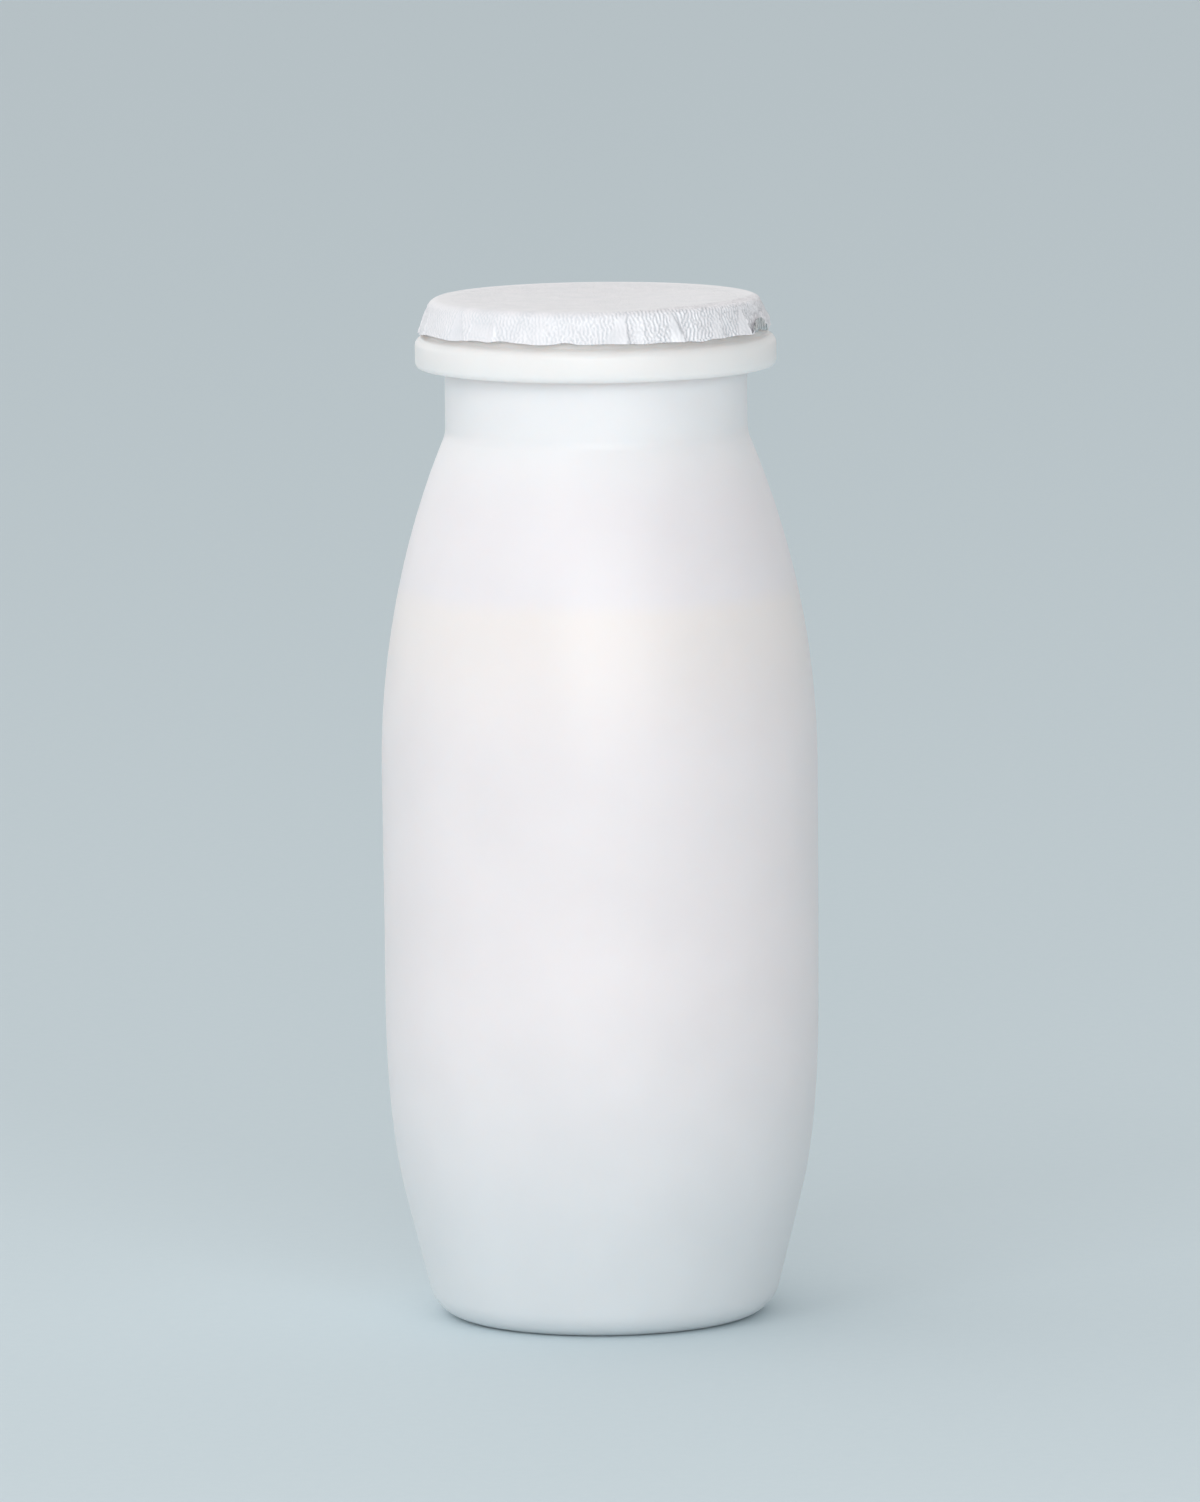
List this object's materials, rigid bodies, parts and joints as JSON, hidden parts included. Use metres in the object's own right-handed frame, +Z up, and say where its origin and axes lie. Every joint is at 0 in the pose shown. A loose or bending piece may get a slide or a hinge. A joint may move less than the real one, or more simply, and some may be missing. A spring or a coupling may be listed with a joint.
{
  "type": "plastic yogurt bottle",
  "caption": "Small round-shouldered white plastic bottle of drinking yogurt, shut by a crimped foil lid over a flanged neck.",
  "frame": {"origin": "centre of the base, on the surface that the bottle stands on", "axes": "+Z up along the bottle's axis, front towards -Y, right towards +X"},
  "size_m": [0.044, 0.044, 0.1035],
  "materials": {
    "bottle_plastic": "satin milky white blow-moulded polyethylene",
    "lid_foil": "embossed aluminium foil, white lacquer outside and bare metal inside"
  },
  "bodies": {
    "root": {"bottle": "bottle_plastic", "foil_lid": "lid_foil"}
  },
  "joints": []
}
